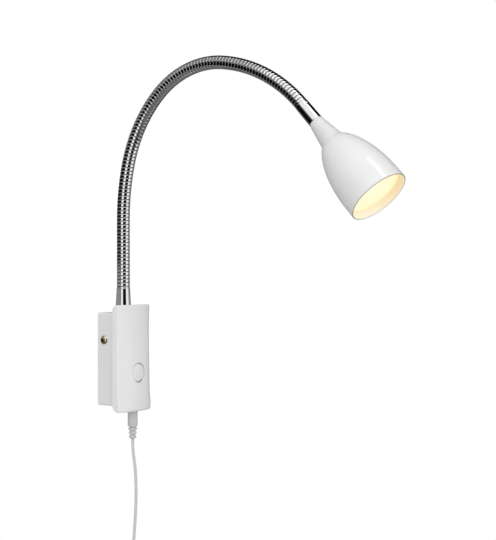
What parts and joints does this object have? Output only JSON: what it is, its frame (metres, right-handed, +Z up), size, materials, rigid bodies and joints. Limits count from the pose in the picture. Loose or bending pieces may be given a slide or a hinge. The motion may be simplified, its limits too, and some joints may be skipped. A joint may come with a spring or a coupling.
{
  "type": "wall reading lamp",
  "caption": "White wall reading lamp with a push-button housing, a ribbed chrome flexible arm, a bell shade with a lit diffuser and a low-voltage lead with plug-in supply.",
  "frame": {"origin": "on the wall plane, at the middle of the wall bracket's back face, halfway between its two screw holes", "axes": "+Y into the wall, so the room lies towards -Y; +Z up; X along the wall, with the lamp's mid-plane at X = 0"},
  "size_m": [0.0769, 0.325, 0.6046],
  "materials": {
    "housing_white": "satin white moulding",
    "cover_white": "satin-gloss white moulding",
    "inner_white": "matt white moulding",
    "button_white": "satin-gloss white moulding",
    "shade_white": "high-gloss white shell",
    "steel": "zinc-plated steel",
    "brass_screws": "dull brass with a dark cross recess",
    "arm_chrome": "bright chrome",
    "ferrule_chrome": "bright chrome",
    "board_green": "glass-epoxy board",
    "chip_black": "black component plastic",
    "plunger_grey": "grey plastic",
    "contact_nickel": "nickel-plated contact",
    "lead_grey": "soft insulated lead",
    "sink_aluminium": "plain cast aluminium",
    "lamp_board": "white solder mask",
    "lamp_chips": "warm phosphor",
    "reflector_white": "gloss white cone",
    "diffuser_lit": "frosted, lit warm from behind",
    "ring_grey": "matt grey ring",
    "plug_grey": "light warm grey soft moulding",
    "cord_white": "soft white-grey sheath",
    "tie_white": "flexible plastic band",
    "supply_white": "fine-textured white moulding",
    "core_grey": "plain block"
  },
  "bodies": {
    "base": {"wall_bracket": "steel", "rear_housing": "housing_white", "side_screws": "brass_screws", "front_cover": "cover_white", "cover_plate": "inner_white", "cover_screws": "steel", "circuit_board": "board_green", "board_parts": "chip_black", "switch_body": "chip_black", "dc_socket": "chip_black", "socket_pin": "contact_nickel", "lower_ferrule": "ferrule_chrome", "arm_washer": "steel", "arm_nut": "steel", "arm_link_00": "arm_chrome", "arm_lead": "lead_grey"},
    "arm_01": {"arm_link_01": "arm_chrome"},
    "arm_02": {"arm_link_02": "arm_chrome"},
    "arm_03": {"arm_link_03": "arm_chrome"},
    "arm_04": {"arm_link_04": "arm_chrome"},
    "arm_05": {"arm_link_05": "arm_chrome"},
    "arm_06": {"arm_link_06": "arm_chrome"},
    "arm_07": {"arm_link_07": "arm_chrome"},
    "arm_08": {"arm_link_08": "arm_chrome"},
    "arm_09": {"arm_link_09": "arm_chrome"},
    "arm_10": {"arm_link_10": "arm_chrome"},
    "arm_11": {"arm_link_11": "arm_chrome"},
    "arm_12": {"arm_link_12": "arm_chrome"},
    "arm_13": {"arm_link_13": "arm_chrome"},
    "arm_14": {"arm_link_14": "arm_chrome"},
    "head": {"arm_link_15": "arm_chrome", "upper_ferrule": "ferrule_chrome", "neck_nut": "steel", "shade": "shade_white", "heat_sink": "sink_aluminium", "led_board": "lamp_board", "led_chips": "lamp_chips", "led_screws": "steel", "reflector": "reflector_white", "diffuser": "diffuser_lit", "retaining_ring": "ring_grey"},
    "button": {"push_button": "button_white", "switch_plunger": "plunger_grey"},
    "plug": {"plug_barrel": "contact_nickel", "plug_body": "plug_grey", "cord_drop": "cord_white", "cord_coil": "cord_white", "cord_tail": "cord_white", "coil_tie": "tie_white", "supply_back": "supply_white", "supply_front": "supply_white", "supply_pins": "contact_nickel", "supply_relief": "plug_grey", "supply_core": "core_grey"}
  },
  "joints": [
    {"name": "arm_sway", "type": "hinge", "parent": "base", "child": "arm_01", "pos_m": [0, -0.0156, 0.0808], "axis": [0, 1, 0], "range_deg": [-11, 11], "deforming": ["arm_lead"]},
    {"name": "arm_sway_2", "type": "hinge", "parent": "arm_01", "child": "arm_02", "pos_m": [0, -0.0156, 0.0988], "axis": [0, 1, 0], "range_deg": [-11, 11]},
    {"name": "arm_sway_3", "type": "hinge", "parent": "arm_02", "child": "arm_03", "pos_m": [0, -0.0156, 0.1168], "axis": [0, 1, 0], "range_deg": [-11, 11]},
    {"name": "arm_sway_4", "type": "hinge", "parent": "arm_03", "child": "arm_04", "pos_m": [0, -0.0156, 0.1348], "axis": [0, 1, 0], "range_deg": [-11, 11]},
    {"name": "arm_bend", "type": "hinge", "parent": "arm_04", "child": "arm_05", "pos_m": [0, -0.01743, 0.16712], "axis": [1, 0, 0], "range_deg": [-11.71, 3.86], "deforming": ["arm_lead"]},
    {"name": "arm_bend_2", "type": "hinge", "parent": "arm_05", "child": "arm_06", "pos_m": [0, -0.02485, 0.2023], "axis": [1, 0, 0], "range_deg": [-12.36, 4.08]},
    {"name": "arm_bend_3", "type": "hinge", "parent": "arm_06", "child": "arm_07", "pos_m": [0, -0.03657, 0.22855], "axis": [1, 0, 0], "range_deg": [-12.5, 4.13]},
    {"name": "arm_bend_4", "type": "hinge", "parent": "arm_07", "child": "arm_08", "pos_m": [0, -0.0537, 0.25163], "axis": [1, 0, 0], "range_deg": [-11.55, 3.81]},
    {"name": "arm_bend_5", "type": "hinge", "parent": "arm_08", "child": "arm_09", "pos_m": [0, -0.06981, 0.26596], "axis": [1, 0, 0], "range_deg": [-13.17, 4.35]},
    {"name": "arm_bend_6", "type": "hinge", "parent": "arm_09", "child": "arm_10", "pos_m": [0, -0.08871, 0.27631], "axis": [1, 0, 0], "range_deg": [-13.17, 4.35]},
    {"name": "neck_bend", "type": "hinge", "parent": "arm_10", "child": "arm_11", "pos_m": [0, -0.10947, 0.28209], "axis": [1, 0, 0], "range_deg": [-13.17, 4.34], "deforming": ["arm_lead"]},
    {"name": "neck_bend_2", "type": "hinge", "parent": "arm_11", "child": "arm_12", "pos_m": [0, -0.13101, 0.28298], "axis": [1, 0, 0], "range_deg": [-12.85, 4.24]},
    {"name": "neck_bend_3", "type": "hinge", "parent": "arm_12", "child": "arm_13", "pos_m": [0, -0.15576, 0.27848], "axis": [1, 0, 0], "range_deg": [-10.45, 3.45]},
    {"name": "neck_bend_4", "type": "hinge", "parent": "arm_13", "child": "arm_14", "pos_m": [0, -0.18262, 0.26822], "axis": [1, 0, 0], "range_deg": [-11.85, 3.91]},
    {"name": "neck_bend_5", "type": "hinge", "parent": "arm_14", "child": "head", "pos_m": [0, -0.20981, 0.25072], "axis": [1, 0, 0], "range_deg": [-14.63, 4.83]},
    {"name": "button_press", "type": "slide", "parent": "base", "child": "button", "axis": [0, 1, 0], "range_m": [0, 0.0015], "stiffness_N_per_m": 1200, "springref_m": -0.0006},
    {"name": "plug_pull", "type": "slide", "parent": "base", "child": "plug", "axis": [0, 0, -1], "range_m": [0, 0.011]}
  ],
  "couplings": [
    {"joint": "arm_sway_2", "follows": "arm_sway", "ratio": 1},
    {"joint": "arm_sway_3", "follows": "arm_sway", "ratio": 1},
    {"joint": "arm_sway_4", "follows": "arm_sway", "ratio": 1},
    {"joint": "arm_bend_2", "follows": "arm_bend", "ratio": 1.0558},
    {"joint": "arm_bend_3", "follows": "arm_bend", "ratio": 1.0675},
    {"joint": "arm_bend_4", "follows": "arm_bend", "ratio": 0.98631},
    {"joint": "arm_bend_5", "follows": "arm_bend", "ratio": 1.1243},
    {"joint": "arm_bend_6", "follows": "arm_bend", "ratio": 1.1243},
    {"joint": "neck_bend_2", "follows": "neck_bend", "ratio": 0.97567},
    {"joint": "neck_bend_3", "follows": "neck_bend", "ratio": 0.79392},
    {"joint": "neck_bend_4", "follows": "neck_bend", "ratio": 0.89977},
    {"joint": "neck_bend_5", "follows": "neck_bend", "ratio": 1.1115}
  ]
}
